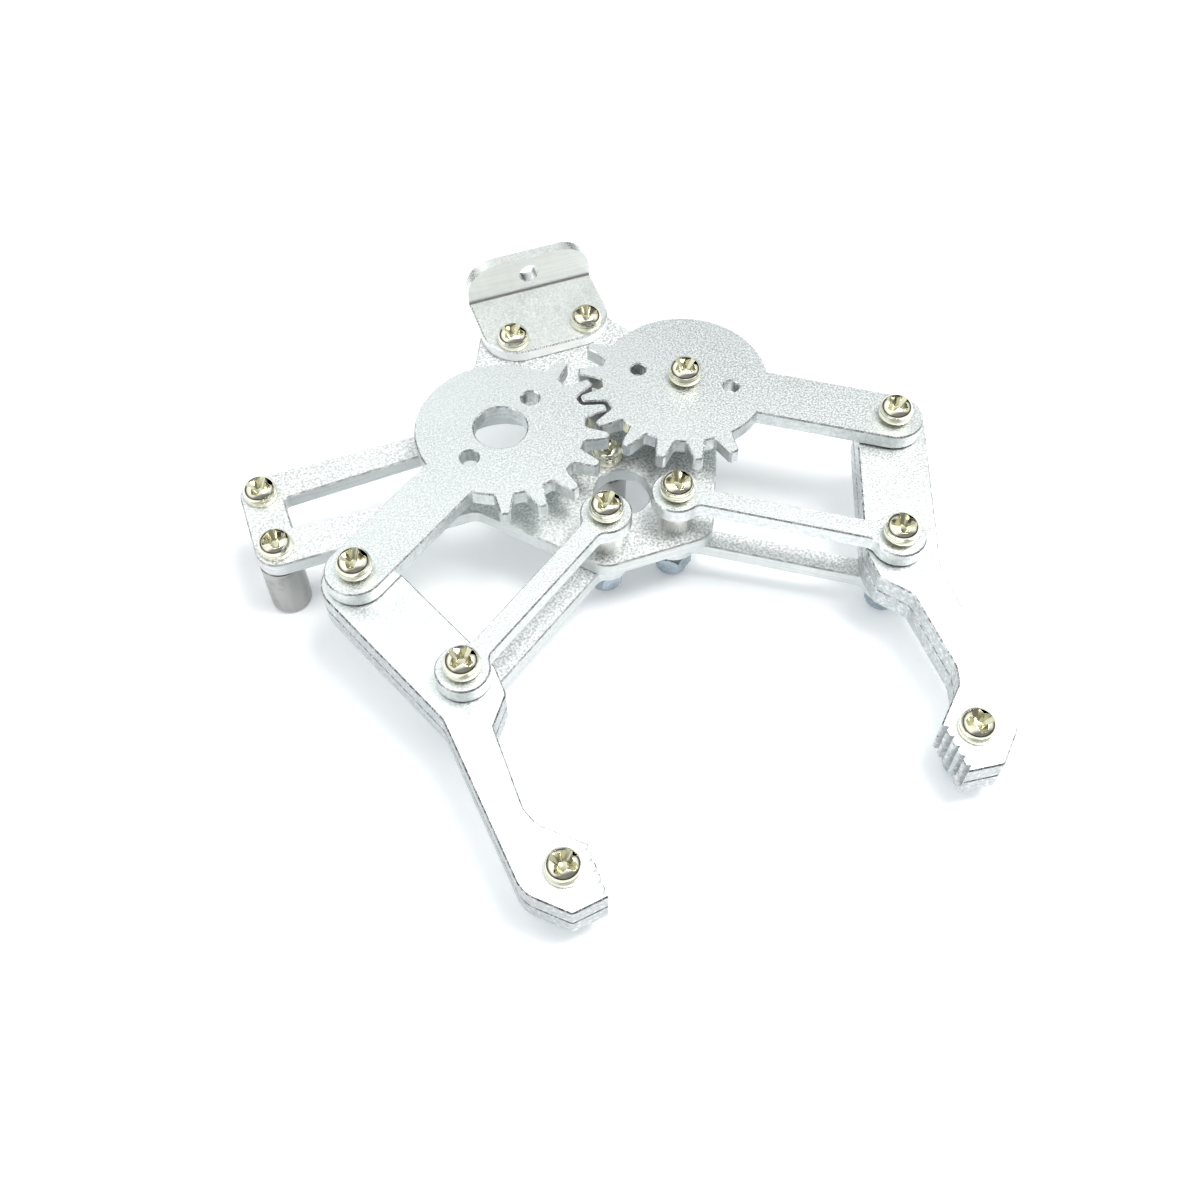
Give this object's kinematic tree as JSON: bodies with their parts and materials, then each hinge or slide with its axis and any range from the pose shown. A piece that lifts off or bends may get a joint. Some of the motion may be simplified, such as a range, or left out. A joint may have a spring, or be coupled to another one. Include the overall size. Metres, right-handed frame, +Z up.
{
  "type": "servo robot claw",
  "caption": "Flat two-finger parallel gripper: meshed geared arms and link bars carry toothed fingers on a plate with a servo fork and a wrist bracket.",
  "frame": {"origin": "centre of the hole in the wrist bracket's upright, on its rear face", "axes": "+Y out of the wrist hole towards the robot arm, -Y forward to the finger tips, +Z up from the plate, +X to the right seen from behind the claw"},
  "size_m": [0.0973, 0.1032, 0.022],
  "materials": {
    "plate_alloy": "sandblasted clear anodised",
    "bracket_sheet": "satin bead blasted",
    "screw_nickel": "bright nickel plate",
    "nut_zinc": "bluish zinc plate",
    "post_nickel": "satin nickel plate"
  },
  "bodies": {
    "base": {"base_plate": "plate_alloy", "wrist_bracket": "bracket_sheet", "bracket_screws": "screw_nickel", "bracket_nuts": "nut_zinc", "servo_screws": "screw_nickel", "servo_standoffs": "post_nickel", "gear_axle_screw": "screw_nickel", "gear_axle_spacer": "post_nickel", "gear_axle_nut": "nut_zinc", "link_pivot_screws": "screw_nickel", "link_spacers": "post_nickel", "link_pivot_nuts": "nut_zinc"},
    "left_gear": {"drive_gear": "plate_alloy"},
    "right_gear": {"driven_gear": "plate_alloy"},
    "left_link": {"left_upper_link": "plate_alloy", "left_lower_link": "plate_alloy"},
    "right_link": {"right_upper_link": "plate_alloy", "right_lower_link": "plate_alloy"},
    "left_finger": {"left_finger_upper_plate": "plate_alloy", "left_finger_lower_plate": "plate_alloy", "left_arm_pivot_screw": "screw_nickel", "left_arm_pivot_nut": "nut_zinc", "left_link_end_screw": "screw_nickel", "left_link_end_nut": "nut_zinc", "left_tip_screw": "screw_nickel", "left_tip_nut": "nut_zinc"},
    "right_finger": {"right_finger_upper_plate": "plate_alloy", "right_finger_lower_plate": "plate_alloy", "right_arm_pivot_screw": "screw_nickel", "right_arm_pivot_nut": "nut_zinc", "right_link_end_screw": "screw_nickel", "right_link_end_nut": "nut_zinc", "right_tip_screw": "screw_nickel", "right_tip_nut": "nut_zinc"}
  },
  "joints": [
    {"name": "left_gear_turn", "type": "hinge", "parent": "base", "child": "left_gear", "pos_m": [-0.01425, -0.032, 0.00005], "axis": [0, 0, 1], "range_deg": [-7, 51.8]},
    {"name": "right_gear_turn", "type": "hinge", "parent": "base", "child": "right_gear", "pos_m": [0.01425, -0.032, 0.00005], "axis": [0, 0, 1], "range_deg": [-51.8, 7]},
    {"name": "left_link_swing", "type": "hinge", "parent": "base", "child": "left_link", "pos_m": [-0.00525, -0.0515, 0.00005], "axis": [0, 0, 1], "range_deg": [-7, 51.8]},
    {"name": "right_link_swing", "type": "hinge", "parent": "base", "child": "right_link", "pos_m": [0.00525, -0.0515, 0.00005], "axis": [0, 0, 1], "range_deg": [-51.8, 7]},
    {"name": "left_finger_pivot", "type": "hinge", "parent": "left_gear", "child": "left_finger", "pos_m": [-0.04004, -0.0492, 0.00005], "axis": [0, 0, 1], "range_deg": [-51.8, 7]},
    {"name": "right_finger_pivot", "type": "hinge", "parent": "right_gear", "child": "right_finger", "pos_m": [0.04004, -0.0492, 0.00005], "axis": [0, 0, 1], "range_deg": [-7, 51.8]}
  ],
  "couplings": [
    {"joint": "right_gear_turn", "follows": "left_gear_turn", "ratio": -1},
    {"joint": "left_link_swing", "follows": "left_gear_turn", "ratio": 1},
    {"joint": "right_link_swing", "follows": "left_gear_turn", "ratio": -1},
    {"joint": "left_finger_pivot", "follows": "left_gear_turn", "ratio": -1},
    {"joint": "right_finger_pivot", "follows": "left_gear_turn", "ratio": 1}
  ]
}
